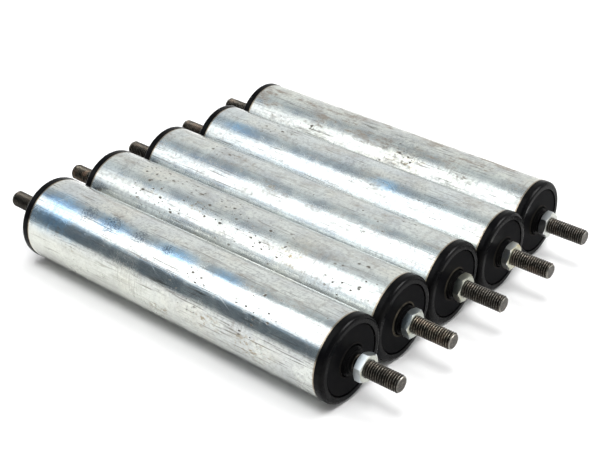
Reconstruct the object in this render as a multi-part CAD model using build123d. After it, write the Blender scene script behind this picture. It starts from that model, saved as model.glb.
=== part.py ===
"""Set of five gravity conveyor rollers laid side by side.

Each roller is a plated steel tube pressed over two polymer bearing housings. A fixed spindle with a
threaded stud at each end runs through a ball bearing in each housing, and a thin nut clamps the
bearing's inner ring and its seal bush against a shoulder on the spindle.

Frame: +X runs along the rollers, +Y across the set, +Z up. The origin is on the floor under the
middle of the set. Millimetres.
"""
from build123d import *
import math
import os

# ---- driving dimensions ----
ROLLER_COUNT = 5
TUBE_LENGTH = 260.0
TUBE_RADIUS = 30.0
TUBE_WALL = 1.5
SPINDLE_LENGTH = 350.0
STUD_RADIUS = 6.0            # M12 thread, major radius
THREAD_PITCH_RADIUS = 5.43   # M12 thread, pitch radius
FLANGE_RADIUS = 30.25        # housing flange, just proud of the tube
ROLLER_GAP = 0.3             # air between neighbouring flanges
PITCH = 2 * FLANGE_RADIUS + ROLLER_GAP
AXIS_HEIGHT = FLANGE_RADIUS

# how far each roller is pushed along X, and how far its spindle ends are cut off centre
AXIAL_OFFSETS = [4.0, 0.8, 0.8, 2.4, -3.6]
SPINDLE_OFFSETS = [-1.0, -0.1, 0.4, 0.2, 0.6]

# distances from a tube end are positive outwards (towards the stud tip)
FLANGE_THICKNESS = 6.4
FLANGE_ROUNDING = 2.8
SKIRT_DEPTH = 22.0           # length of the housing inside the tube
SKIRT_WALL = 3.0
RECESS_RADIUS = 24.9         # seat of the dust cover
RECESS_FLOOR = 2.0
WEB_BACK = -4.0
BOSS_RADIUS = 18.6
BOSS_LIP_THICKNESS = 2.5     # lip behind the bearing
BOSS_LIP_CLEARANCE = 0.6     # lip to the outer race's inner land
BEARING_LEAD_IN = 1.0        # taper that guides the bearing in
RIB_COUNT = 6
RIB_WIDTH = 2.0
RIB_BACK = -12.0
RIB_BITE = 0.5               # how far a rib sinks into the walls it joins

COVER_RADIUS = 24.2
COVER_FACE = 5.9
COVER_BACK = 3.9
COVER_HOLE_RADIUS = 11.2
COVER_LIP_RADIUS = 12.0
COVER_LIP_HEIGHT = 0.6
COVER_SKIRT_WALL = 1.2
COVER_EDGE = 0.3             # broken edges

BEARING_OUTER_RADIUS = 16.0  # 12 x 32 x 10 deep-groove bearing
BEARING_BORE_RADIUS = STUD_RADIUS + 0.02
BEARING_WIDTH = 10.0
OUTER_LAND_RADIUS = 13.0
INNER_LAND_RADIUS = 9.0
BALL_CIRCLE_RADIUS = 11.0
BALL_COUNT = 7
BALL_RADIUS = 2.8
RACEWAY_RADIUS = 3.0
CAGE_WALL = 0.8
CAGE_WIDTH = 7.0
CAGE_POCKET_RADIUS = 2.9

SHOULDER_RADIUS = 7.25
TIP_CHAMFER = 1.0

BUSH_BORE_RADIUS = 6.05
BUSH_STEPS = [(8.6, 3.0), (10.2, 7.4), (9.4, 8.7), (8.5, 10.0)]  # radius, outer end of each step

NUT_ACROSS_FLATS = 18.0
NUT_THICKNESS = 6.0
NUT_BORE_RADIUS = THREAD_PITCH_RADIUS + 0.05
NUT_FACE_RADIUS = 8.7        # radius where the corner chamfer meets the end faces
NUT_CHAMFER_SLOPE = math.tan(math.radians(30))
NUT_MOUTH_RADIUS = 6.4       # countersink where the thread enters the nut
RIGHT_NUT_STARTS = [13.9, 10.0, 10.0, 10.0, 11.2]
LEFT_NUT_STARTS = [10.0, 10.0, 10.6, 10.0, 10.0]
RIGHT_NUT_ANGLES = [40.0, -3.0, 2.0, 10.0, 20.0]
LEFT_NUT_ANGLES = [12.0, 33.0, 50.0, 5.0, 26.0]

HALF_LENGTH = TUBE_LENGTH / 2


def revolved(points):
    """A solid of revolution about X from a closed outline of (distance, radius) points."""
    outline = Polyline(*points, close=True)
    return revolve(Plane.XY * make_face(outline), Axis.X, 360)


def ring(start, end, inner, outer):
    """A plain ring about X."""
    return revolved([(start, inner), (end, inner), (end, outer), (start, outer)])


def at_right_end(shape):
    """Move a shape whose distances start at a tube end to the +X end of the tube."""
    return Pos(HALF_LENGTH, 0, 0) * shape


def at_left_end(shape):
    """Turn a shape whose distances start at a tube end to face -X at the other end."""
    return Rot(0, 0, 180) * at_right_end(shape)


def tube():
    return ring(-HALF_LENGTH, HALF_LENGTH, TUBE_RADIUS - TUBE_WALL, TUBE_RADIUS)


def housing():
    """Bearing housing: rounded flange, ribbed skirt inside the tube and a boss round the bearing."""
    skirt_outer = TUBE_RADIUS - TUBE_WALL
    skirt_inner = skirt_outer - SKIRT_WALL
    boss_back = -BEARING_WIDTH - BOSS_LIP_THICKNESS
    boss_lip = OUTER_LAND_RADIUS + BOSS_LIP_CLEARANCE
    turn = FLANGE_ROUNDING * math.sqrt(0.5)
    corner = (FLANGE_THICKNESS - FLANGE_ROUNDING, FLANGE_RADIUS - FLANGE_ROUNDING)
    outline = [
        Polyline(
            (FLANGE_THICKNESS, FLANGE_RADIUS - FLANGE_ROUNDING), (FLANGE_THICKNESS, RECESS_RADIUS),
            (RECESS_FLOOR, RECESS_RADIUS), (RECESS_FLOOR, BEARING_OUTER_RADIUS + BEARING_LEAD_IN),
            (0, BEARING_OUTER_RADIUS), (-BEARING_WIDTH, BEARING_OUTER_RADIUS),
            (-BEARING_WIDTH, boss_lip), (boss_back, boss_lip), (boss_back, BOSS_RADIUS),
            (WEB_BACK, BOSS_RADIUS), (WEB_BACK, skirt_inner), (-SKIRT_DEPTH, skirt_inner),
            (-SKIRT_DEPTH, skirt_outer), (0, skirt_outer), (0, FLANGE_RADIUS),
            (FLANGE_THICKNESS - FLANGE_ROUNDING, FLANGE_RADIUS)),
        ThreePointArc(
            (FLANGE_THICKNESS - FLANGE_ROUNDING, FLANGE_RADIUS), (corner[0] + turn, corner[1] + turn),
            (FLANGE_THICKNESS, FLANGE_RADIUS - FLANGE_ROUNDING)),
    ]
    body = revolve(make_face(Curve() + outline), Axis.X, 360)
    rib_height = skirt_inner - BOSS_RADIUS + 2 * RIB_BITE
    rib_length = WEB_BACK - RIB_BACK + RIB_BITE
    rib = Pos(RIB_BACK + rib_length / 2, 0, BOSS_RADIUS - RIB_BITE + rib_height / 2) * Box(
        rib_length, RIB_WIDTH, rib_height)
    for i in range(RIB_COUNT):
        body += Rot(i * 360 / RIB_COUNT, 0, 0) * rib
    return body


def dust_cover():
    """Flat disc with a raised lip round its hole and a skirt that seats in the housing."""
    skirt_inner = COVER_RADIUS - COVER_SKIRT_WALL
    return revolved([
        (COVER_BACK, COVER_HOLE_RADIUS), (COVER_FACE + COVER_LIP_HEIGHT, COVER_HOLE_RADIUS),
        (COVER_FACE + COVER_LIP_HEIGHT, COVER_LIP_RADIUS - COVER_EDGE), (COVER_FACE, COVER_LIP_RADIUS),
        (COVER_FACE, COVER_RADIUS - COVER_EDGE), (COVER_FACE - COVER_EDGE, COVER_RADIUS),
        (RECESS_FLOOR, COVER_RADIUS), (RECESS_FLOOR, skirt_inner), (COVER_BACK, skirt_inner)])


def raceway():
    """The ring of the balls' path, used to cut both races."""
    centre = Location((-BEARING_WIDTH / 2, BALL_CIRCLE_RADIUS, 0))
    return revolve(centre * Circle(RACEWAY_RADIUS), Axis.X, 360)


def outer_race():
    return ring(-BEARING_WIDTH, 0, OUTER_LAND_RADIUS, BEARING_OUTER_RADIUS) - raceway()


def inner_race():
    return ring(-BEARING_WIDTH, 0, BEARING_BORE_RADIUS, INNER_LAND_RADIUS) - raceway()


def ball_spots():
    """Positions of the balls round the bearing."""
    spots = []
    for i in range(BALL_COUNT):
        angle = 2 * math.pi * i / BALL_COUNT
        spots.append(Pos(-BEARING_WIDTH / 2, BALL_CIRCLE_RADIUS * math.cos(angle),
                         BALL_CIRCLE_RADIUS * math.sin(angle)))
    return spots


def balls():
    return [spot * Sphere(BALL_RADIUS) for spot in ball_spots()]


def cage():
    """Ring between the races with a round pocket for each ball."""
    middle = -BEARING_WIDTH / 2
    body = ring(middle - CAGE_WIDTH / 2, middle + CAGE_WIDTH / 2,
                BALL_CIRCLE_RADIUS - CAGE_WALL, BALL_CIRCLE_RADIUS + CAGE_WALL)
    for spot in ball_spots():
        body -= spot * Sphere(CAGE_POCKET_RADIUS)
    return body


def seal_bush():
    """Stepped bush between the inner race and the nut."""
    points = [(0, BUSH_BORE_RADIUS), (BUSH_STEPS[-1][1], BUSH_BORE_RADIUS)]
    start = [0] + [end for radius, end in BUSH_STEPS[:-1]]
    for (radius, end), begin in reversed(list(zip(BUSH_STEPS, start))):
        points += [(end, radius), (begin, radius)]
    return revolved(points)


def half_outline(length, nut_start):
    """Outline of half a spindle, from its shoulder out to the chamfered stud end.

    The free thread is a cylinder of its major radius. Inside the nut the two threads mesh, and there
    both are cylinders near the pitch radius.
    """
    shoulder = HALF_LENGTH - BEARING_WIDTH
    nut_begin = HALF_LENGTH + nut_start
    nut_end = nut_begin + NUT_THICKNESS
    return [
        (shoulder, SHOULDER_RADIUS), (shoulder, STUD_RADIUS), (nut_begin, STUD_RADIUS),
        (nut_begin, THREAD_PITCH_RADIUS), (nut_end, THREAD_PITCH_RADIUS), (nut_end, STUD_RADIUS),
        (length - TIP_CHAMFER, STUD_RADIUS), (length, STUD_RADIUS - TIP_CHAMFER), (length, 0)]


def spindle(index):
    """Bar with a shoulder behind each bearing and a threaded stud at each end."""
    shift = SPINDLE_OFFSETS[index]
    right = half_outline(SPINDLE_LENGTH / 2 + shift, RIGHT_NUT_STARTS[index])
    left = half_outline(SPINDLE_LENGTH / 2 - shift, LEFT_NUT_STARTS[index])
    return revolved(right + [(-distance, radius) for distance, radius in reversed(left)])


def nut(start, angle):
    """Thin hexagon nut with both faces chamfered, one corner at the given angle from +Y."""
    corner_radius = NUT_ACROSS_FLATS / 2 / math.cos(math.pi / 6)
    hexagon = extrude(Plane.YZ * RegularPolygon(corner_radius, 6, rotation=angle), NUT_THICKNESS)
    drop = (corner_radius - NUT_FACE_RADIUS) * NUT_CHAMFER_SLOPE
    blank = revolved([
        (0, 0), (0, NUT_FACE_RADIUS), (drop, corner_radius), (NUT_THICKNESS - drop, corner_radius),
        (NUT_THICKNESS, NUT_FACE_RADIUS), (NUT_THICKNESS, 0)])
    mouth = (NUT_MOUTH_RADIUS - NUT_BORE_RADIUS) * NUT_CHAMFER_SLOPE
    bore = revolved([
        (0, 0), (0, NUT_MOUTH_RADIUS), (mouth, NUT_BORE_RADIUS),
        (NUT_THICKNESS - mouth, NUT_BORE_RADIUS), (NUT_THICKNESS, NUT_MOUTH_RADIUS),
        (NUT_THICKNESS, 0)])
    return Pos(start, 0, 0) * ((hexagon & blank) - bore)


def write(name, place, *solids):
    """Write one node, placed in the set."""
    moved = [place * solid for solid in solids]
    shape = moved[0] if len(moved) == 1 else Compound(children=moved)
    shape.label = name
    export_step(shape, f"parts/{name}.step")


def write_roller(index, pieces):
    """Write the twelve nodes of one roller."""
    across = (index - (ROLLER_COUNT - 1) / 2) * PITCH
    place = Pos(AXIAL_OFFSETS[index], across, AXIS_HEIGHT)
    name = f"roller_{index + 1}"
    right_nut = at_right_end(nut(RIGHT_NUT_STARTS[index], RIGHT_NUT_ANGLES[index]))
    left_nut = at_left_end(nut(LEFT_NUT_STARTS[index], LEFT_NUT_ANGLES[index]))
    write(f"{name}_tube", place, pieces["tube"])
    write(f"{name}_right_housing", place, at_right_end(pieces["housing"]))
    write(f"{name}_left_housing", place, at_left_end(pieces["housing"]))
    write(f"{name}_right_dust_cover", place, at_right_end(pieces["dust_cover"]))
    write(f"{name}_left_dust_cover", place, at_left_end(pieces["dust_cover"]))
    write(f"{name}_spindle", place, spindle(index))
    write(f"{name}_nuts", place, right_nut, left_nut)
    for label in ("outer_race", "inner_race", "cage", "seal_bush"):
        both = [at_right_end(pieces[label]), at_left_end(pieces[label])]
        plural = label + ("es" if label.endswith("bush") else "s")
        write(f"{name}_{plural}", place, *both)
    ball_set = [at_right_end(ball) for ball in pieces["balls"]]
    ball_set += [at_left_end(ball) for ball in pieces["balls"]]
    write(f"{name}_bearing_balls", place, *ball_set)


os.makedirs("parts", exist_ok=True)
roller_pieces = {
    "tube": tube(), "housing": housing(), "dust_cover": dust_cover(), "outer_race": outer_race(),
    "inner_race": inner_race(), "cage": cage(), "seal_bush": seal_bush(), "balls": balls()}
for roller_index in range(ROLLER_COUNT):
    write_roller(roller_index, roller_pieces)
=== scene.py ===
"""Looks of a set of five gravity conveyor rollers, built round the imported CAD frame.

Each roller's plain CAD spindle is replaced by one with a true helical thread. Every other piece keeps
its CAD shape and gets a procedural material. Lengths are in metres, angles in degrees.
"""
import math
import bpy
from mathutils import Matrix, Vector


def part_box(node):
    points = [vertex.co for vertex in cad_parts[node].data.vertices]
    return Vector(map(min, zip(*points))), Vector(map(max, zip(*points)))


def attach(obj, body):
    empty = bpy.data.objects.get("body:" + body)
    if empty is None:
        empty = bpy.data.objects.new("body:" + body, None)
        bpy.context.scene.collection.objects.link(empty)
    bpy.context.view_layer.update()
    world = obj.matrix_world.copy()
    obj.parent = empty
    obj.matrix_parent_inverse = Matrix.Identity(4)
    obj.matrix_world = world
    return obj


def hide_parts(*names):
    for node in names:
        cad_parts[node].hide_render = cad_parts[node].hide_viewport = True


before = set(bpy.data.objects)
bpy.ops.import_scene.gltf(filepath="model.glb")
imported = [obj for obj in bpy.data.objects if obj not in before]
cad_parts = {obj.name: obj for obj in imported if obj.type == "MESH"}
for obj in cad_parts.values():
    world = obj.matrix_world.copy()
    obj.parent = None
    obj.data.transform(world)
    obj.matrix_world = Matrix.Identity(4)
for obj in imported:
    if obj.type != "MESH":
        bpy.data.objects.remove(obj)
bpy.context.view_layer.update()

from types import SimpleNamespace
import bmesh
import bpy
from mathutils import Matrix, Vector

scene = bpy.context.scene
ROLLERS = [1, 2, 3, 4, 5]

# ---- sizes of a roller ----
TUBE_RADIUS = 0.030
RIM_DIRT_REACH = (0.0015, 0.0008)      # dirt along the tube's edge: where it starts, and where it is full
WORN_RING_INSET = 0.0185               # from the tube's end to the worn ring
WORN_RING_WIDTH = (0.0018, 0.0003)     # half widths: of the fade, and of the full wear
LIP_INNER = (0.0110, 0.0117)           # radii between which the dust round a cover's hole fades in
LIP_OUTER = (0.0128, 0.0122)           # radii between which it fades in from outside
NUT_CORNERS = (0.0085, 0.0102)         # radii between which a nut's corners start to gather residue
NUT_FACE = (0.0007, 0.0002)            # distances from the outer faces between which their colour sets in
THREAD_PITCH = 0.00175
THREAD_CREST = 0.00597
THREAD_ROOT = 0.00506
STUD_FACE = THREAD_ROOT - 0.0001       # radius of a stud's flat end, inside the 45 degree chamfer
JOURNAL_RADIUS = 0.00595
BAR_RADIUS = 0.00725                   # the spindle between its shoulders
THREAD_START = 0.009                   # beyond the tube's end, just inside the bush
SHOULDER_INSET = 0.010                 # inside the tube's end
SIDES = 56                             # of each round of the spindle
WELD_DISTANCE = 0.000005
FLAT_DISTANCE = 0.000002

# ---- where looks change: each pair is where a change starts and where it is full ----
# the first three: where a painted reflection of the floor lies low on a tube's -Y side, fainter towards +X
FLOOR_REFLECTION_X, FLOOR_REFLECTION_Y, FLOOR_REFLECTION_Z = (0.08, -0.06), (-0.004, -0.024), (0.014, 0.0)
UPPER_SIDE_Y, UPPER_SIDE_Z = (0.024, 0.008), (0.014, 0.0285)
CREST_RADII = (0.00570, 0.00594)
SAWN_RADII = (0.0051, 0.0046)
STUD_END = (0.0008, 0.0005)            # distance from the stud's end
CREST_BRIGHT_X = (-0.05, 0.0)          # the left stud's crests are darker
LEFT_RUST_X = (-0.05, -0.10)

# ---- depth of the relief ----
TUBE_RELIEF = 0.00006
STUD_RELIEF = 0.00005
POLYMER_RELIEF = 0.000012
PLAIN_RELIEF = 0.000008
NUT_RELIEF = 0.000004

# one pitch of the thread: (share of the pitch, height from 0 at the root to 1 at the crest)
PROFILE = [(0.0, 0.0), (0.20, 0.0), (0.27, 0.12), (0.50, 0.92),
           (0.56, 1.0), (0.70, 1.0), (0.76, 0.92), (0.97, 0.12)]

# ---- camera, floor and light ----
CAMERA_PLACE = (0.51272, -0.66464, 0.48068)
CAMERA_YAW = 127.587
CAMERA_PITCH = -28.573
CAMERA_ROLL = 2.955
SENSOR_WIDTH = 36.0                    # millimetres
FOCAL_LENGTH = 77.2182                 # millimetres
FLOOR_SIZE = 3.0
FLOOR_FRONT = -0.42
FLOOR_DROP = 0.0003                    # keeps the floor clear of the flanges' lowest line
PANEL_HIGH = ((-1.375, -0.55, 1.2975), (-0.15, -0.0125, 1.2975))
PANEL_LOW = ((-1.375, -0.100, 0.330), (-0.0175, -0.794, 0.330))
PANEL_STEPS = 12
BACK_LEVEL, TOP_LEVEL, FRONT_LEVEL = 1.08, 0.56, 0.19

# name, direction it shines from, width in degrees, strength in W/m2, and the rays that don't see it.
# The metal already shows the softbox, so two lamps light only the floor and the plastic's own colour.
LAMPS = [("front", (0.10, -0.31, 0.95), 26, 1.9, "visible_glossy"),
         ("top", (0.15, 0.24, 0.97), 30, 1.0, "visible_glossy"),
         ("spark", (0.62, 0.42, 0.66), 30, 5.5, "visible_diffuse")]

# ---- colours ----
WHITE = (1.0, 1.0, 1.0)
FLOOR_PALE = (0.93, 0.93, 0.93)
COOL_ZINC = (0.52, 0.545, 0.55)
WARM_ZINC = (0.655, 0.682, 0.652)
CREAM_ZINC = (0.655, 0.645, 0.575)
DULL_ZINC = (0.35, 0.36, 0.36)
DRAWN_GREY = (0.34, 0.34, 0.335)
LINE_DARK = (0.13, 0.12, 0.11)
DASH_DARK = (0.10, 0.10, 0.085)
# partly painted: blue passivation, which on the tubes also serves as a painted blue reflection along the
# highlight's upper edge
PASSIVATION_AND_REFLECTION_BLUE = (0.30, 0.60, 0.90)
# painted reflection: the cream colour of the floor as seen mirrored low on the tubes
PAINTED_FLOOR_REFLECTION = (0.66, 0.67, 0.59)
SCUFF_GREY = (0.34, 0.32, 0.29)
WORN_GREY = (0.32, 0.31, 0.29)
RIM_BROWN = (0.27, 0.21, 0.14)
DIRT_BROWN = (0.25, 0.225, 0.195)
STAIN_BROWN = (0.27, 0.215, 0.13)
HALO_BROWN = (0.27, 0.24, 0.19)
PIT_DARK = (0.060, 0.050, 0.040)
SCRATCH_PALE = (0.80, 0.80, 0.80)
# painted reflection: the dark blue of the netting specks at the highlight's frayed edge
NETTING_REFLECTION_DARK = (0.08, 0.10, 0.13)
SPECK_GREY = (0.10, 0.098, 0.095)
LIP_DUST = (0.080, 0.070, 0.052)
NUT_RESIDUE = (0.42, 0.37, 0.22)
NUT_TARNISH = (0.20, 0.17, 0.13)
THREAD_DARK = (0.013, 0.011, 0.0085)
RUST_BROWN = (0.15, 0.085, 0.05)
CUT_DARK = (0.022, 0.018, 0.014)
CUT_PALE = (0.105, 0.092, 0.074)
CHAMFER_PALE = (0.26, 0.245, 0.215)

# ---- what differs from roller to roller ----
# In TUBES, rough and haze are the least roughness and what haze adds, pits and dirt the amounts of specks and
# dirt, frayed the strength of the relief, lined the threshold of the dark lines, and netted the strength of
# the netting, painted dark reflection specks at the highlight's frayed edge. Marks are dark spots, frays
# coarse plating, and the rest patches of pits, blue (passivation, partly a painted blue reflection along the
# highlight's edge), stain and dashes. Each is given as (along the tube from its middle, degrees from +Y over
# the top, radius).
TUBES = {
    1: dict(rough=0.09, haze=0.14, pits=0.28, dirt=0.80, frayed=1.25, tone=(1.0, 1.0, 1.0), lined=0.587,
            netted=0.75,
            marks=[(0.0755, 114.5, 0.0016)],
            frays=[(-0.083, 117, 0.009), (-0.060, 116, 0.011), (-0.034, 116, 0.008), (-0.008, 116, 0.006)],
            pocked=[(0.02, 149, 0.020), (0.075, 146, 0.022)],
            # blue places: passivation laid along the highlight's upper edge and in the dark band, as a
            # painted blue reflection
            blued=[(-0.110, 119, 0.013), (-0.060, 117, 0.010), (0.0, 116, 0.009), (0.045, 115, 0.007),
                   (-0.105, 147, 0.016)],
            stained=[(0.078, 187, 0.017), (0.040, 178, 0.012), (-0.095, 166, 0.014), (0.0, 192, 0.010)],
            scored=[(-0.085, 166, 0.010), (-0.050, 178, 0.012), (0.0, 162, 0.007), (0.030, 148, 0.004),
                    (0.075, 147, 0.005), (0.06, 170, 0.007)]),
    2: dict(rough=0.19, haze=0.13, pits=1.0, dirt=0.7, frayed=0.9, tone=(0.97, 0.97, 0.97), lined=0.61,
            netted=0.2,
            marks=[(0.108, 98, 0.0019), (0.113, 131, 0.0018), (-0.040, 98, 0.0018), (-0.028, 114, 0.0016),
                   (-0.070, 116, 0.0013)],
            frays=[(0.0, 122, 0.02)],
            pocked=[(-0.085, 103, 0.028), (-0.050, 108, 0.034), (-0.010, 114, 0.034), (0.035, 122, 0.024),
                    (0.105, 125, 0.026)],
            blued=[],
            stained=[(0.055, 130, 0.014), (-0.035, 124, 0.012), (-0.075, 118, 0.010)],
            scored=[]),
    3: dict(rough=0.17, haze=0.11, pits=0.5, dirt=0.9, frayed=0.7, tone=(0.98, 0.99, 1.0), lined=0.61,
            netted=0.1,
            marks=[],
            frays=[(-0.06, 118, 0.014)],
            pocked=[(-0.075, 82, 0.020), (0.09, 80, 0.016)],
            blued=[],
            stained=[(-0.02, 120, 0.008)],
            scored=[]),
    4: dict(rough=0.15, haze=0.11, pits=0.40, dirt=0.75, frayed=0.7, tone=(0.98, 1.0, 1.03), lined=0.61,
            netted=0.2,
            marks=[],
            frays=[(0.01, 117, 0.022), (0.06, 116, 0.02)],
            pocked=[(-0.07, 90, 0.022)],
            blued=[(-0.100, 119, 0.008), (0.045, 119, 0.008)],
            stained=[],
            scored=[(0.085, 115, 0.006), (-0.06, 84, 0.005)]),
    5: dict(rough=0.21, haze=0.15, pits=0.60, dirt=2.1, frayed=0.9, tone=(0.99, 0.98, 0.955), lined=0.60,
            netted=0.3,
            marks=[(-0.065, 139, 0.0030)],
            frays=[(0.02, 120, 0.03)],
            pocked=[(0.02, 136, 0.022)],
            blued=[],
            stained=[(0.03, 138, 0.014)],
            scored=[(-0.02, 96, 0.006), (0.05, 92, 0.006)])}

# share of residue, bare colour, and share and colour of what covers the end faces
NUTS = {1: dict(stain=0.30, bare=(0.56, 0.60, 0.62), covered=0.8, cover=(0.38, 0.385, 0.32)),
        2: dict(stain=0.45, bare=(0.50, 0.54, 0.55), covered=0.7, cover=(0.32, 0.33, 0.27)),
        3: dict(stain=0.55, bare=(0.42, 0.42, 0.36), covered=0.6, cover=(0.30, 0.31, 0.26)),
        4: dict(stain=1.0, bare=(0.66, 0.67, 0.66), covered=0.8, cover=(0.36, 0.35, 0.24)),
        5: dict(stain=0.3, bare=(0.58, 0.59, 0.59), covered=0.6, cover=(0.40, 0.41, 0.36))}

# share of rust, colour of the worn crests, and share of rust in patches on the left stud
STUDS = {1: dict(rust=0.05, crest_colour=(0.13, 0.12, 0.10), left_rust=0.0),
         2: dict(rust=0.22, crest_colour=(0.22, 0.20, 0.155), left_rust=0.6),
         3: dict(rust=0.08, crest_colour=(0.15, 0.14, 0.12), left_rust=0.0),
         4: dict(rust=0.18, crest_colour=(0.19, 0.17, 0.14), left_rust=0.1),
         5: dict(rust=0.14, crest_colour=(0.16, 0.15, 0.13), left_rust=0.0)}

# share of dust on the lip of the dust covers
LIPS = {1: 0.0, 2: 1.0, 3: 0.55, 4: 0.2, 5: 0.2}

# base colour, colour where dusty, roughness and how far clouds raise it, turning marks, and gloss
POLYMERS = {
    "black_polymer": dict(base=(0.0026, 0.0026, 0.0030), dusty=(0.010, 0.0095, 0.009), rough=0.17,
                          spread=0.20, grain=0.3, gloss=0.04),
    "cover_polymer": dict(base=(0.0045, 0.0045, 0.0052), dusty=(0.011, 0.0105, 0.010), rough=0.42,
                          spread=0.16, grain=0.8, gloss=0.012),
    "bush_polymer": dict(base=(0.0040, 0.0040, 0.0042), dusty=(0.012, 0.011, 0.010), rough=0.34,
                         spread=0.16, grain=0.6, gloss=0.03)}


# ---- camera ----
def place_camera():
    """Stand the camera at the front right, looking down along the set."""
    yaw, pitch, roll = (math.radians(a) for a in (CAMERA_YAW, CAMERA_PITCH, CAMERA_ROLL))
    forward = Vector((math.cos(pitch) * math.cos(yaw), math.cos(pitch) * math.sin(yaw), math.sin(pitch)))
    level = forward.cross(Vector((0, 0, 1))).normalized()
    upright = level.cross(forward)
    right = math.cos(roll) * level + math.sin(roll) * upright
    up = math.cos(roll) * upright - math.sin(roll) * level
    data = bpy.data.cameras.new("camera")
    data.sensor_width = SENSOR_WIDTH
    data.lens = FOCAL_LENGTH
    data.clip_start, data.clip_end = 0.05, 50.0
    camera = bpy.data.objects.new("camera", data)
    scene.collection.objects.link(camera)
    turn = Matrix((right, up, -forward)).transposed().to_4x4()
    camera.matrix_world = Matrix.Translation(CAMERA_PLACE) @ turn
    scene.camera = camera


# ---- node graphs ----
class Graph:
    """A node tree, with short calls for the nodes that the materials use."""

    def __init__(self, tree):
        self.tree = tree
        tree.nodes.clear()

    def node(self, kind, inputs=(), **settings):
        made = self.tree.nodes.new(kind)
        for name, value in settings.items():
            setattr(made, name, value)
        for name, value in dict(inputs).items():
            self.set(made.inputs[name], value)
        return made

    def set(self, socket, value):
        if isinstance(value, bpy.types.NodeSocket):
            self.tree.links.new(value, socket)
        elif isinstance(value, (tuple, list)) and len(value) == 3 and socket.type == "RGBA":
            socket.default_value = (*value, 1.0)
        else:
            socket.default_value = value

    def math(self, operation, a, b=0.0, clamp=False):
        made = self.node("ShaderNodeMath", {0: a, 1: b}, operation=operation)
        made.use_clamp = clamp
        return made.outputs[0]

    def times(self, a, b):
        return self.math("MULTIPLY", a, b)

    def plus(self, a, b):
        return self.math("ADD", a, b)

    def length(self, a, b):
        """Length of the vector (a, b)."""
        return self.math("SQRT", self.plus(self.times(a, a), self.times(b, b)))

    def vector(self, operation, a, b):
        return self.node("ShaderNodeVectorMath", {0: a, 1: b}, operation=operation).outputs[0]

    def stretched(self, where, x, y, z):
        return self.vector("MULTIPLY", where, (x, y, z))

    def parts(self, value):
        """The three parts of a vector or colour."""
        return self.node("ShaderNodeSeparateXYZ", {"Vector": value}).outputs

    def ramp(self, value, start, end, low=0.0, high=1.0):
        """value carried smoothly from low at start to high at end."""
        made = self.node("ShaderNodeMapRange", {
            "Value": value, "From Min": start, "From Max": end, "To Min": low, "To Max": high})
        made.interpolation_type = "SMOOTHSTEP"
        return made.outputs["Result"]

    def noise(self, where, scale=1.0, detail=4.0, roughness=0.55, distortion=0.0):
        return self.node("ShaderNodeTexNoise", {
            "Vector": where, "Scale": scale, "Detail": detail, "Roughness": roughness,
            "Distortion": distortion}).outputs["Fac"]

    def cells(self, where, scale, dimensions="3D"):
        """Distance from the nearest cell point, and that cell's random colour."""
        made = self.node("ShaderNodeTexVoronoi", {"Vector": where, "Scale": scale},
                         voronoi_dimensions=dimensions)
        return made.outputs["Distance"], made.outputs["Color"]

    def mix(self, amount, a, b):
        """Colour a with the share amount of colour b over it."""
        made = self.node("ShaderNodeMix", data_type="RGBA")
        self.set(made.inputs["Factor"], amount)
        self.set(made.inputs[6], a)
        self.set(made.inputs[7], b)
        return made.outputs[2]

    def blend(self, amount, a, b):
        """Number a with the share amount of number b."""
        made = self.node("ShaderNodeMix", data_type="FLOAT")
        self.set(made.inputs["Factor"], amount)
        self.set(made.inputs[2], a)
        self.set(made.inputs[3], b)
        return made.outputs[0]


def new_material(name):
    material = bpy.data.materials.new(name)
    material.use_nodes = True
    return material, Graph(material.node_tree)


def finish_material(g, height=None, bump=0.0, **sockets):
    """Join the colour, roughness and relief to a shader. The relief is height times bump, in metres."""
    shader = g.node("ShaderNodeBsdfPrincipled")
    for name, value in sockets.items():
        g.set(shader.inputs[name.replace("_", " ")], value)
    if height is not None:
        relief = g.node("ShaderNodeBump", {"Height": height, "Distance": bump, "Strength": 1.0})
        g.set(shader.inputs["Normal"], relief.outputs[0])
    output = g.node("ShaderNodeOutputMaterial")
    g.tree.links.new(shader.outputs[0], output.inputs[0])


def centre_of(number):
    """A point on a roller's axis, in the middle of its tube."""
    low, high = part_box(f"roller_{number}_tube")
    return (Vector(low) + Vector(high)) / 2


def half_tube(number):
    """Half a tube's length."""
    low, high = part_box(f"roller_{number}_tube")
    return (high[0] - low[0]) / 2


def local_place(g, number):
    """Coordinates from the middle of the roller, and their separate parts."""
    where = g.node("ShaderNodeTexCoord").outputs["Object"]
    local = g.vector("SUBTRACT", where, tuple(centre_of(number)))
    x, y, z = g.parts(local)
    return local, x, y, z


def from_ends(g, number, part, x):
    """Distance along the axis inwards from the nearer end of a part that reaches both ends."""
    low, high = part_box(f"roller_{number}_{part}")
    middle = (low[0] + high[0]) / 2 - centre_of(number).x
    half = (high[0] - low[0]) / 2
    return g.math("SUBTRACT", half, g.math("ABSOLUTE", g.math("SUBTRACT", x, middle)))


# ---- tube ----
def tube_place(g, number):
    """A tube's coordinates, its surface unrolled flat, and a place for noises that no other tube shares."""
    local, x, y, z = local_place(g, number)
    arc = g.times(g.math("ARCTAN2", y, z), TUBE_RADIUS)
    unrolled = g.node("ShaderNodeCombineXYZ", {"X": x, "Y": arc, "Z": 0.31 * number}).outputs[0]
    seeded = g.vector("ADD", local, (0.37 * number, 0.11 * number, 0.23 * number))
    return SimpleNamespace(x=x, y=y, z=z, arc=arc, unrolled=unrolled, seeded=seeded)


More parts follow.
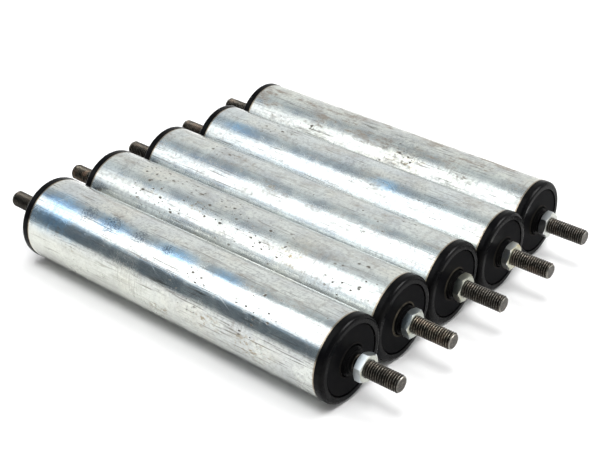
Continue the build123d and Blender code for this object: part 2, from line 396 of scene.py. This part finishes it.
def tube_noises(g, seeded):
    """The noises that several of a tube's marks share. The first three are drawn out along the tube."""
    shifted = g.vector("ADD", seeded, (1.7, 0.4, 2.9))
    return SimpleNamespace(
        drawn=g.noise(g.stretched(seeded, 14, 900, 900), detail=3.0),
        streak=g.noise(g.stretched(seeded, 34, 1100, 1100), detail=2.0),
        rubbed=g.noise(g.stretched(seeded, 26, 170, 170), detail=7.0, roughness=0.68),
        cloud=g.noise(seeded, 34.0, detail=7.0, roughness=0.66, distortion=0.5),
        mottle=g.noise(seeded, 420.0, detail=5.0, roughness=0.62),
        grain=g.noise(seeded, 1150.0, detail=3.0, roughness=0.6),
        patch=g.noise(shifted, 21.0, detail=3.0))


def spots(g, at, places, core=0.45, drawn_out=1.0):
    """Marks at places given as (along, angle in degrees from +Y over the top, radius).

    They fade outside core of the radius, and are longer along the tube by drawn_out.
    """
    total = 0.0
    for along, degrees, size in places:
        sideways = g.math("SUBTRACT", at.arc, math.radians(90 - degrees) * TUBE_RADIUS)
        ahead = g.math("DIVIDE", g.math("SUBTRACT", at.x, along), drawn_out)
        distance = g.length(ahead, sideways)
        total = g.math("MAXIMUM", total, g.ramp(distance, size, size * core))
    return total


def plating(g, at, noise, look):
    """The plating's colour and its dark lines: blue-grey and cream patches, fine mottling, short dashes."""
    cool, warm, cream = (tuple(c * t for c, t in zip(base, look["tone"]))
                         for base in (COOL_ZINC, WARM_ZINC, CREAM_ZINC))
    colour = g.mix(g.ramp(noise.cloud, 0.36, 0.62), cool, warm)
    colour = g.mix(g.ramp(noise.patch, 0.48, 0.66, 0.0, 0.65), colour, cream)
    colour = g.mix(g.ramp(noise.mottle, 0.45, 0.66, 0.0, 0.62), colour, DULL_ZINC)
    drawn = g.times(g.ramp(noise.drawn, 0.52, 0.68), g.ramp(noise.rubbed, 0.40, 0.60, 0.18, 0.60))
    colour = g.mix(drawn, colour, DRAWN_GREY)
    threshold = look["lined"]
    lines = g.times(g.ramp(noise.streak, threshold, threshold + 0.07), g.ramp(noise.rubbed, 0.40, 0.54))
    colour = g.mix(g.times(lines, 0.75), colour, LINE_DARK)
    dashes = g.noise(g.stretched(at.seeded, 40, 560, 560), detail=4.0, roughness=0.6)
    dashes = g.times(g.ramp(dashes, 0.53, 0.60), spots(g, at, look["scored"], 0.2, 2.6))
    return g.mix(g.times(dashes, 0.8), colour, DASH_DARK), lines


def tinted(g, at, noise, look, colour):
    """Blue passivation, partly a painted blue reflection along the highlight's edge, and a painted cream
    reflection of the floor low on the -Y side.
    """
    # partly painted reflection: blue passivation laid where the highlight's upper edge and the dark band are
    # seen, tinting that reflection blue
    blue = g.times(spots(g, at, look["blued"], 0.0, 3.2), g.ramp(noise.mottle, 0.34, 0.56, 0.55, 1.0))
    blue = g.times(blue, g.ramp(noise.cloud, 0.34, 0.56, 0.35, 1.0))
    colour = g.mix(g.times(blue, 0.66), colour, PASSIVATION_AND_REFLECTION_BLUE)
    # painted reflection: a cream tint low on the -Y side, where the floor is seen mirrored, fainter towards
    # +X
    floor_reflection_mask = g.times(g.ramp(at.y, *FLOOR_REFLECTION_Y), g.ramp(at.z, *FLOOR_REFLECTION_Z))
    floor_reflection_mask = g.times(floor_reflection_mask, g.ramp(at.x, *FLOOR_REFLECTION_X, 0.2, 1.0))
    return g.mix(g.times(floor_reflection_mask, 0.55), colour, PAINTED_FLOOR_REFLECTION)


def worn(g, at, noise, half, colour):
    """Cross scuffs in patches, a faint worn ring near each end, and brown dirt along the rims."""
    across = g.noise(g.stretched(at.unrolled, 1500, 60, 1), detail=3.0)
    scuffed = g.times(g.ramp(across, 0.50, 0.62), g.ramp(g.noise(at.unrolled, 30.0, detail=2.0), 0.56, 0.68))
    colour = g.mix(g.times(scuffed, 0.45), colour, SCUFF_GREY)
    from_middle = g.math("ABSOLUTE", at.x)
    from_ring = g.math("ABSOLUTE", g.math("SUBTRACT", from_middle, half - WORN_RING_INSET))
    ring = g.times(g.ramp(from_ring, *WORN_RING_WIDTH), g.ramp(noise.cloud, 0.42, 0.58, 0.25, 1.0))
    colour = g.mix(g.times(ring, 0.25), colour, WORN_GREY)
    rim = g.ramp(from_middle, *(half - reach for reach in RIM_DIRT_REACH))
    return g.mix(g.times(rim, 0.85), colour, RIM_BROWN), scuffed


def dirtied(g, at, noise, look, colour):
    """Streaky smears on the upper side, fainter ones all round, and yellow-brown stains."""
    upper = g.plus(g.times(g.ramp(at.z, *UPPER_SIDE_Z), g.ramp(at.y, *UPPER_SIDE_Y)), 0.30)
    smear = g.noise(g.stretched(at.seeded, 30, 85, 85), detail=9.0, roughness=0.74)
    smear = g.ramp(smear, 0.48, 0.64)
    grains = g.noise(g.stretched(at.seeded, 260, 420, 420), detail=5.0, roughness=0.7)
    grains = g.ramp(grains, 0.46, 0.66)
    grainy = g.times(g.plus(g.times(grains, 0.75), 0.40), look["dirt"])
    dirty = g.times(g.times(smear, upper), grainy)
    colour = g.mix(g.math("MULTIPLY", dirty, 0.85, clamp=True), colour, DIRT_BROWN)
    broken = g.times(g.ramp(grains, 0.2, 0.7), g.ramp(noise.rubbed, 0.44, 0.56))
    stain = g.times(spots(g, at, look["stained"], 0.0, 1.8), broken)
    return g.mix(g.times(stain, 0.9), colour, STAIN_BROWN), dirty


def pits(g, at, noise, look):
    """Specks all over, marks in their places, and pocked patches of uneven pits."""
    cluster = g.ramp(g.noise(at.seeded, 17.0, detail=3.0), 0.48, 0.62, 0.15, 1.0)
    pit = 0.0
    for scale, reach, chance in ((120.0, 0.095, 0.34), (230.0, 0.13, 0.42)):
        distance, chosen = g.cells(g.vector("ADD", at.seeded, (0.013 * scale / 100, 0.0, 0.0)), scale)
        speck = g.ramp(distance, reach, reach * 0.55)
        lucky = g.math("LESS_THAN", g.parts(chosen)[0], chance * look["pits"])
        pit = g.math("MAXIMUM", pit, g.times(g.times(speck, lucky), cluster))
    marks = g.times(spots(g, at, look["marks"]), g.ramp(noise.mottle, 0.38, 0.5))
    pit = g.math("MAXIMUM", pit, marks)
    wander = g.node("ShaderNodeTexNoise", {"Vector": at.unrolled, "Scale": 500.0, "Detail": 2.0})
    strayed = g.vector("ADD", g.stretched(at.unrolled, 0.62, 1, 1),
                       g.stretched(wander.outputs["Color"], 0.0012, 0.0010, 0.0))
    for scale, reach, chance in ((115.0, 0.125, 0.60), (210.0, 0.15, 0.42)):
        distance, chosen = g.cells(strayed, scale, "2D")
        draw = g.parts(chosen)
        size = g.times(g.ramp(draw[1], 0.0, 1.0, 0.5, 1.0), reach)
        speck = g.ramp(g.math("DIVIDE", distance, size), 1.0, 0.6)
        speck = g.times(speck, g.math("LESS_THAN", draw[0], chance))
        pit = g.math("MAXIMUM", pit, g.times(speck, spots(g, at, look["pocked"])))
    return pit


def scratches(g, at):
    """Thin bright strokes in three directions."""
    scratch = 0.0
    for angle, length, width, low in ((0.5, 26, 900, 0.725), (1.25, 30, 1100, 0.73), (-0.9, 34, 1000, 0.735)):
        turned = g.node("ShaderNodeVectorRotate", {"Vector": at.unrolled, "Angle": angle},
                        rotation_type="Z_AXIS").outputs[0]
        stroke = g.ramp(g.noise(g.stretched(turned, length, width, 1), detail=1.0), low, low + 0.04)
        scratch = g.math("MAXIMUM", scratch, stroke)
    return scratch


def zinc_tube(number, look):
    """Zinc-plated tube: drawn lines, hazy patches, pits, scratches, and brown dirt on the upper side."""
    material, g = new_material(f"zinc_tube_{number}")
    at = tube_place(g, number)
    noise = tube_noises(g, at.seeded)
    colour, lines = plating(g, at, noise, look)
    colour = tinted(g, at, noise, look, colour)
    colour, scuffed = worn(g, at, noise, half_tube(number), colour)
    colour, dirty = dirtied(g, at, noise, look, colour)
    pit = pits(g, at, noise, look)
    colour = g.mix(g.times(g.ramp(pit, 0.0, 0.5), 0.5), colour, HALO_BROWN)
    colour = g.mix(g.times(pit, 0.95), colour, PIT_DARK)
    scratch = scratches(g, at)
    colour = g.mix(g.times(scratch, 0.16), colour, SCRATCH_PALE)

    # fine dark netting where the plating is coarse: painted dark reflection specks along the highlight's
    # frayed edge
    coarse_here = spots(g, at, look["frays"])
    painted_netting = g.times(coarse_here, g.ramp(noise.mottle, 0.36, 0.46))
    painted_netting = g.times(g.ramp(noise.grain, 0.48, 0.54), painted_netting)
    colour = g.mix(g.times(painted_netting, look["netted"]), colour, NETTING_REFLECTION_DARK)

    hazy = g.ramp(g.plus(g.times(noise.cloud, 0.6), g.times(noise.rubbed, 0.4)), 0.42, 0.62)
    roughness = g.plus(look["rough"], g.times(hazy, look["haze"]))
    roughness = g.plus(roughness, g.ramp(noise.mottle, 0.35, 0.70, 0.0, 0.10))
    roughness = g.plus(roughness, g.plus(g.times(dirty, 0.20), g.times(scuffed, 0.10)))
    roughness = g.plus(roughness, g.plus(g.times(scratch, 0.05), g.times(pit, 0.25)))
    lost = g.plus(g.plus(g.times(dirty, 0.35), g.times(pit, 0.7)), g.times(lines, 0.2))
    metal = g.math("SUBTRACT", 0.97, lost, clamp=True)

    # relief: long waves, and dimples that fray the highlights where the plating is coarse
    coarse = g.times(g.ramp(noise.patch, 0.40, 0.60, 0.30, 1.0), look["frayed"])
    coarse = g.plus(g.times(coarse, 0.6), g.times(coarse_here, 1.3))
    dimples = g.times(g.plus(g.times(noise.mottle, 0.55), g.times(noise.grain, 0.22)), coarse)
    dents = g.plus(g.times(noise.rubbed, 0.8), g.times(noise.cloud, 0.25))
    height = g.plus(g.times(noise.drawn, 0.34), g.plus(g.times(dents, look["frayed"]), dimples))
    sunk = g.plus(pit, g.plus(g.times(scratch, 0.2), g.times(lines, 0.1)))
    height = g.math("SUBTRACT", height, sunk)
    finish_material(g, height, TUBE_RELIEF, Base_Color=colour, Roughness=roughness, Metallic=metal)
    return material


# ---- polymer ----
def polymer(name, number, base, dusty, rough, spread, grain, gloss, lipped=0.0):
    """Moulded black plastic with faint turning marks, scuffs and pale dust."""
    material, g = new_material(f"{name}_{number}")
    local, x, y, z = local_place(g, number)
    radius = g.length(y, z)
    seeded = g.vector("ADD", local, (0.41 * number, 0.17 * number, 0.29 * number))
    cloud = g.noise(seeded, 90.0, detail=5.0)
    turning = g.node("ShaderNodeCombineXYZ", {"X": g.times(radius, 900.0), "Y": g.times(x, 900.0)})
    rings = g.noise(turning.outputs[0], detail=2.0)
    distance, _ = g.cells(seeded, 900.0)
    speck = g.times(g.math("LESS_THAN", distance, 0.14), g.ramp(g.noise(seeded, 60.0), 0.5, 0.62))
    scuff = g.noise(g.stretched(seeded, 60, 240, 240), detail=6.0, roughness=0.7)
    scuff = g.ramp(scuff, 0.58, 0.75)
    colour = g.mix(g.ramp(cloud, 0.4, 0.75, 0.0, 0.5), base, dusty)
    colour = g.mix(g.times(scuff, 0.35), colour, dusty)
    colour = g.mix(g.times(speck, 0.35), colour, SPECK_GREY)
    # dry dust on the lip round the hole
    lip = g.times(g.ramp(radius, *LIP_INNER), g.ramp(radius, *LIP_OUTER))
    colour = g.mix(g.times(lip, g.ramp(cloud, 0.36, 0.62, 0.1, lipped)), colour, LIP_DUST)
    roughness = g.plus(g.plus(rough, g.times(cloud, spread)), g.times(scuff, 0.12))
    height = g.plus(g.times(rings, grain), g.times(g.noise(seeded, 700.0, detail=2.0), 0.5))
    finish_material(g, height, POLYMER_RELIEF, Base_Color=colour, Roughness=roughness,
                    Specular_IOR_Level=gloss)
    return material


# ---- steel hardware ----
def zinc_nut(number, stain, bare, covered, cover):
    """Bright zinc nut with faint machining lines and yellowish residue in its corners."""
    material, g = new_material(f"zinc_nut_{number}")
    local, x, y, z = local_place(g, number)
    seeded = g.vector("ADD", local, (0.19 * number, 0.43 * number, 0.07 * number))
    cloud = g.noise(seeded, 130.0, detail=4.0, roughness=0.5)
    fine = g.noise(seeded, 900.0, detail=3.0)
    lines = g.noise(g.stretched(seeded, 3200, 300, 300), detail=2.0)
    outer = g.ramp(g.length(y, z), *NUT_CORNERS)
    end_face = g.ramp(from_ends(g, number, "nuts", x), *NUT_FACE)
    residue = g.ramp(g.plus(g.times(cloud, 0.8), g.times(outer, 0.16)), 0.40, 0.58)
    residue = g.times(residue, g.plus(g.times(end_face, 0.75), 0.25))
    colour = g.mix(g.times(end_face, covered), bare, cover)
    colour = g.mix(g.times(residue, stain), colour, NUT_RESIDUE)
    colour = g.mix(g.ramp(cloud, 0.60, 0.70, 0.0, 0.4), colour, NUT_TARNISH)
    roughness = g.plus(g.plus(0.25, g.times(cloud, 0.12)), g.times(residue, 0.10))
    height = g.plus(g.times(lines, 0.12), g.plus(g.times(cloud, 0.5), g.times(fine, 0.08)))
    finish_material(g, height, NUT_RELIEF, Base_Color=colour, Roughness=roughness, Metallic=1.0)
    return material


def stud_steel(number, rust, crest_colour, left_rust):
    """Dark oily thread: worn crests, darker roots, brown rust, bare metal on the chamfered ends."""
    material, g = new_material(f"stud_steel_{number}")
    local, x, y, z = local_place(g, number)
    seeded = g.vector("ADD", local, (0.23 * number, 0.31 * number, 0.13 * number))
    radius = g.length(y, z)
    cloud = g.noise(seeded, 140.0, detail=6.0, roughness=0.65)
    grit = g.noise(seeded, 1400.0, detail=3.0)
    blotch = g.noise(seeded, 640.0, detail=3.0)
    shown = g.times(g.ramp(radius, *CREST_RADII), g.ramp(cloud, 0.3, 0.7, 0.45, 1.0))
    shown = g.times(shown, g.ramp(blotch, 0.42, 0.58, 0.30, 1.60))
    shown = g.times(shown, g.ramp(x, *CREST_BRIGHT_X, 0.6, 1.0))
    colour = g.mix(shown, THREAD_DARK, crest_colour)
    rusty = g.times(g.ramp(cloud, 0.47, 0.62), rust)
    left_side = g.times(g.ramp(x, *LEFT_RUST_X), g.ramp(cloud, 0.46, 0.58, 0.0, left_rust))
    rusty = g.math("MAXIMUM", rusty, left_side)
    colour = g.mix(rusty, colour, RUST_BROWN)
    # the sawn end and its chamfer
    end = g.ramp(from_ends(g, number, "spindle", x), *STUD_END)
    sawn = g.noise(g.stretched(seeded, 400, 380, 1300), detail=4.0, roughness=0.65)
    cut = g.mix(g.ramp(sawn, 0.42, 0.60), CUT_DARK, CUT_PALE)
    end_colour = g.mix(g.ramp(radius, *SAWN_RADII), CHAMFER_PALE, cut)
    colour = g.mix(g.times(end, g.ramp(cloud, 0.3, 0.6, 0.55, 1.0)), colour, end_colour)
    roughness = g.plus(g.plus(0.30, g.times(cloud, 0.2)), g.times(rusty, 0.25))
    metal = g.math("SUBTRACT", 0.9, g.times(rusty, 0.7), clamp=True)
    height = g.plus(g.times(grit, 0.5), g.times(cloud, 0.5))
    finish_material(g, height, STUD_RELIEF, Base_Color=colour, Roughness=roughness, Metallic=metal)
    return material


def plain_finish(name, base, rough, metallic=1.0):
    """Ground or moulded inner pieces, with a light haze."""
    material, g = new_material(name)
    where = g.node("ShaderNodeTexCoord").outputs["Object"]
    cloud = g.noise(where, 220.0, detail=5.0)
    fine = g.noise(g.stretched(where, 2600, 400, 400), detail=2.0)
    colour = g.mix(cloud, tuple(c * 0.85 for c in base), base)
    roughness = g.plus(rough, g.times(cloud, 0.12))
    finish_material(g, fine, PLAIN_RELIEF, Base_Color=colour, Roughness=roughness, Metallic=metallic)
    return material


# ---- threaded spindle ----
def new_piece(name, vertices, faces):
    """A mesh object in the scene."""
    mesh = bpy.data.meshes.new(name)
    mesh.from_pydata(vertices, [], faces)
    piece = bpy.data.objects.new(name, mesh)
    scene.collection.objects.link(piece)
    return piece


def round_ring(centre, place, radius):
    """Points round a roller's axis, at a place along it from its middle."""
    angles = [2 * math.pi * k / SIDES for k in range(SIDES)]
    return [(centre.x + place, centre.y + radius * math.cos(a), centre.z + radius * math.sin(a))
            for a in angles]


def thread_rows(start, end):
    """Rows of the thread from start to end: (axial place at angle 0, radius), along a helix."""
    turns = int((end - start) / THREAD_PITCH) + 3
    return [(start + (turn + share) * THREAD_PITCH, THREAD_ROOT + height * (THREAD_CREST - THREAD_ROOT))
            for turn in range(-1, turns) for share, height in PROFILE]


def add_stud(vertices, faces, inner, tip, centre, side):
    """One stud's thread and chamfered end, running outwards along side from inner to tip.

    The left stud is the right one turned half round, so that both have a right-hand thread.
    """
    begin = len(vertices)
    rows = thread_rows(inner, tip)
    for place, radius in rows:
        for k in range(SIDES):
            angle = 2 * math.pi * k / SIDES
            along = min(max(place + THREAD_PITCH * k / SIDES, inner), tip)
            reach = min(radius, STUD_FACE + (tip - along))
            vertices.append((centre.x + side * along, centre.y + reach * math.cos(angle),
                             centre.z + side * reach * math.sin(angle)))
    for i in range(len(rows) - 1):
        for k in range(SIDES):
            after = (k + 1) % SIDES
            # the helix climbs one pitch a turn, so the last column joins a row one pitch on
            step = len(PROFILE) if after == 0 else 0
            a, b = begin + i * SIDES + k, begin + (i + 1) * SIDES + k
            c, d = begin + (i + 1 + step) * SIDES + after, begin + (i + step) * SIDES + after
            if i + 1 + step < len(rows):
                faces.append((d, c, b, a))


def add_bar(vertices, faces, outline, centre):
    """The plain shouldered bar: outline is a list of (place along the axis, radius)."""
    first = len(vertices)
    for place, radius in outline:
        vertices.extend(round_ring(centre, place, radius))
    for i in range(len(outline) - 1):
        near, far = first + i * SIDES, first + (i + 1) * SIDES
        for k in range(SIDES):
            after = (k + 1) % SIDES
            faces.append((near + k, near + after, far + after, far + k))


def weld(mesh):
    """Join the rings that meet, drop the faces with no area, and turn the rest outwards."""
    bm = bmesh.new()
    bm.from_mesh(mesh)
    bmesh.ops.remove_doubles(bm, verts=bm.verts, dist=WELD_DISTANCE)
    bmesh.ops.dissolve_degenerate(bm, edges=bm.edges, dist=FLAT_DISTANCE)
    bmesh.ops.recalc_face_normals(bm, faces=bm.faces)
    bm.to_mesh(mesh)
    bm.free()


def threaded_spindle(number, material):
    """The spindle: a plain bar with shoulders, and a helical thread on each end."""
    low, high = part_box(f"roller_{number}_spindle")
    centre = centre_of(number)
    journal = half_tube(number) + THREAD_START
    shoulder = half_tube(number) - SHOULDER_INSET
    ends = ((1, high[0] - centre.x), (-1, centre.x - low[0]))
    outline = [(-journal, JOURNAL_RADIUS), (-shoulder, JOURNAL_RADIUS), (-shoulder, BAR_RADIUS),
               (shoulder, BAR_RADIUS), (shoulder, JOURNAL_RADIUS), (journal, JOURNAL_RADIUS)]
    vertices, faces = [], []
    for side, tip in ends:
        add_stud(vertices, faces, journal, tip, centre, side)
    add_bar(vertices, faces, outline, centre)
    for side, tip in ends:
        start = len(vertices)
        vertices.extend(round_ring(centre, side * tip, STUD_FACE))
        loop = tuple(range(start, start + SIDES))
        faces.append(loop if side > 0 else loop[::-1])
    piece = new_piece(f"roller_{number}_threaded_spindle", vertices, faces)
    weld(piece.data)
    for polygon in piece.data.polygons:
        polygon.use_smooth = len(polygon.vertices) <= 4
    piece.data.materials.append(material)
    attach(piece, f"roller_{number}_spindle_set")
    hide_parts(f"roller_{number}_spindle")


# ---- floor and light ----
def floor():
    """A plain pale floor."""
    corners = [(-FLOOR_SIZE, FLOOR_FRONT, 0), (FLOOR_SIZE, FLOOR_FRONT, 0),
               (FLOOR_SIZE, FLOOR_SIZE, 0), (-FLOOR_SIZE, FLOOR_SIZE, 0)]
    piece = new_piece("floor", corners, [(0, 1, 2, 3)])
    piece.location.z = -FLOOR_DROP
    material, g = new_material("floor")
    finish_material(g, Base_Color=FLOOR_PALE, Roughness=0.7, Specular_IOR_Level=0.2)
    piece.data.materials.append(material)


def sun(name, way, spread, strength, hidden_from):
    """A distant lamp towards way, spread degrees wide, giving strength W/m2."""
    data = bpy.data.lights.new(name, "SUN")
    data.energy, data.angle = strength, math.radians(spread)
    lamp = bpy.data.objects.new(name, data)
    scene.collection.objects.link(lamp)
    lamp.rotation_mode = "QUATERNION"
    lamp.rotation_quaternion = Vector(way).to_track_quat("Z", "Y")
    setattr(lamp, hidden_from, False)


def softbox_glow():
    """Light of the softbox: blue at its soft edges, and brighter towards its right end."""
    material, g = new_material("softbox")
    along, down, _ = g.parts(g.node("ShaderNodeTexCoord").outputs["UV"])
    edges = g.times(g.times(g.ramp(along, 0.0, 0.22), g.ramp(along, 1.0, 0.92)),
                    g.times(g.ramp(down, 0.0, 0.12), g.ramp(down, 1.0, 0.84)))
    glow = g.times(edges, g.ramp(along, 0.32, 0.76, 0.85, 2.9))
    tint = g.mix(g.ramp(edges, 0.05, 0.75), (0.45, 0.74, 1.05), WHITE)
    lit = g.node("ShaderNodeEmission", {"Color": tint, "Strength": glow})
    clear = g.node("ShaderNodeBsdfTransparent")
    both = g.node("ShaderNodeAddShader", {0: lit.outputs[0], 1: clear.outputs[0]})
    g.tree.links.new(both.outputs[0], g.node("ShaderNodeOutputMaterial").inputs[0])
    return material


def softbox():
    """A softbox at the upper left, seen only in reflections: a twisted panel with soft edges."""
    high, low = ([Vector(corner) for corner in edge] for edge in (PANEL_HIGH, PANEL_LOW))
    row = PANEL_STEPS + 1
    vertices, faces, corners = [], [], []
    for i in range(row):
        for k in range(row):
            along, down = i / PANEL_STEPS, k / PANEL_STEPS
            vertices.append(high[0].lerp(high[1], along).lerp(low[0].lerp(low[1], along), down))
            corners.append((along, down))
    for i in range(PANEL_STEPS):
        for k in range(PANEL_STEPS):
            a = i * row + k
            faces.append((a, a + 1, a + row + 1, a + row))
    piece = new_piece("softbox", vertices, faces)
    layer = piece.data.uv_layers.new(name="across")
    for loop in piece.data.loops:
        layer.data[loop.index].uv = corners[loop.vertex_index]
    piece.data.materials.append(softbox_glow())
    for kind in ("camera", "diffuse", "shadow"):
        setattr(piece, f"visible_{kind}", False)


def studio():
    """A dark room with a pale backdrop, and lamps for the floor and the plastic."""
    world = bpy.data.worlds.new("studio")
    scene.world = world
    world.use_nodes = True
    g = Graph(world.node_tree)
    x, y, z = g.parts(g.node("ShaderNodeTexCoord").outputs["Generated"])
    # angle about X from +Y upwards, in degrees, and the slope along X
    about = g.times(g.math("ARCTAN2", z, y), 180 / math.pi)
    slope = g.math("DIVIDE", x, g.math("MAXIMUM", g.length(y, z), 0.001))
    back = g.ramp(about, 82.0, 60.0)
    front = g.ramp(about, 104.0, 150.0)
    level = g.blend(back, g.blend(front, TOP_LEVEL, FRONT_LEVEL), BACK_LEVEL)
    tint = g.mix(front, (0.86, 0.97, 1.04), (0.74, 0.92, 1.06))
    tint = g.mix(back, tint, (0.985, 1.0, 0.995))
    fringe = g.times(g.ramp(about, 88.0, 96.0), g.ramp(about, 108.0, 99.0))
    fringe = g.times(fringe, g.ramp(slope, -0.60, -0.85))
    tint = g.mix(g.times(fringe, 0.8), tint, (0.50, 0.80, 1.25))
    tint = g.mix(g.node("ShaderNodeLightPath").outputs["Is Diffuse Ray"], tint, WHITE)
    lit = g.node("ShaderNodeBackground", {"Color": tint, "Strength": level})
    plain = g.node("ShaderNodeBackground", {"Color": WHITE, "Strength": 1.0})
    seen = g.node("ShaderNodeLightPath").outputs["Is Camera Ray"]
    both = g.node("ShaderNodeMixShader", {0: seen, 1: lit.outputs[0], 2: plain.outputs[0]})
    g.tree.links.new(both.outputs[0], g.node("ShaderNodeOutputWorld").inputs[0])
    scene.view_settings.view_transform = "Standard"
    for lamp in LAMPS:
        sun(*lamp)


# ---- put it together ----
def paint(node, material):
    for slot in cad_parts[node].material_slots:
        slot.material = material


place_camera()
floor()
softbox()
studio()

bearing_steel = plain_finish("bearing_steel", (0.62, 0.62, 0.63), 0.12)
cage_polymer = plain_finish("cage_polymer", (0.45, 0.40, 0.30), 0.45, metallic=0.0)

for number in ROLLERS:
    name = f"roller_{number}"
    paint(f"{name}_tube", zinc_tube(number, TUBES[number]))
    housing = polymer("black_polymer", number, **POLYMERS["black_polymer"])
    cover = polymer("cover_polymer", number, **POLYMERS["cover_polymer"], lipped=LIPS[number])
    bush = polymer("bush_polymer", number, **POLYMERS["bush_polymer"])
    for side in ("left", "right"):
        paint(f"{name}_{side}_housing", housing)
        paint(f"{name}_{side}_dust_cover", cover)
    paint(f"{name}_seal_bushes", bush)
    paint(f"{name}_nuts", zinc_nut(number, **NUTS[number]))
    for label in ("outer_races", "inner_races", "bearing_balls"):
        paint(f"{name}_{label}", bearing_steel)
    paint(f"{name}_cages", cage_polymer)
    threaded_spindle(number, stud_steel(number, **STUDS[number]))
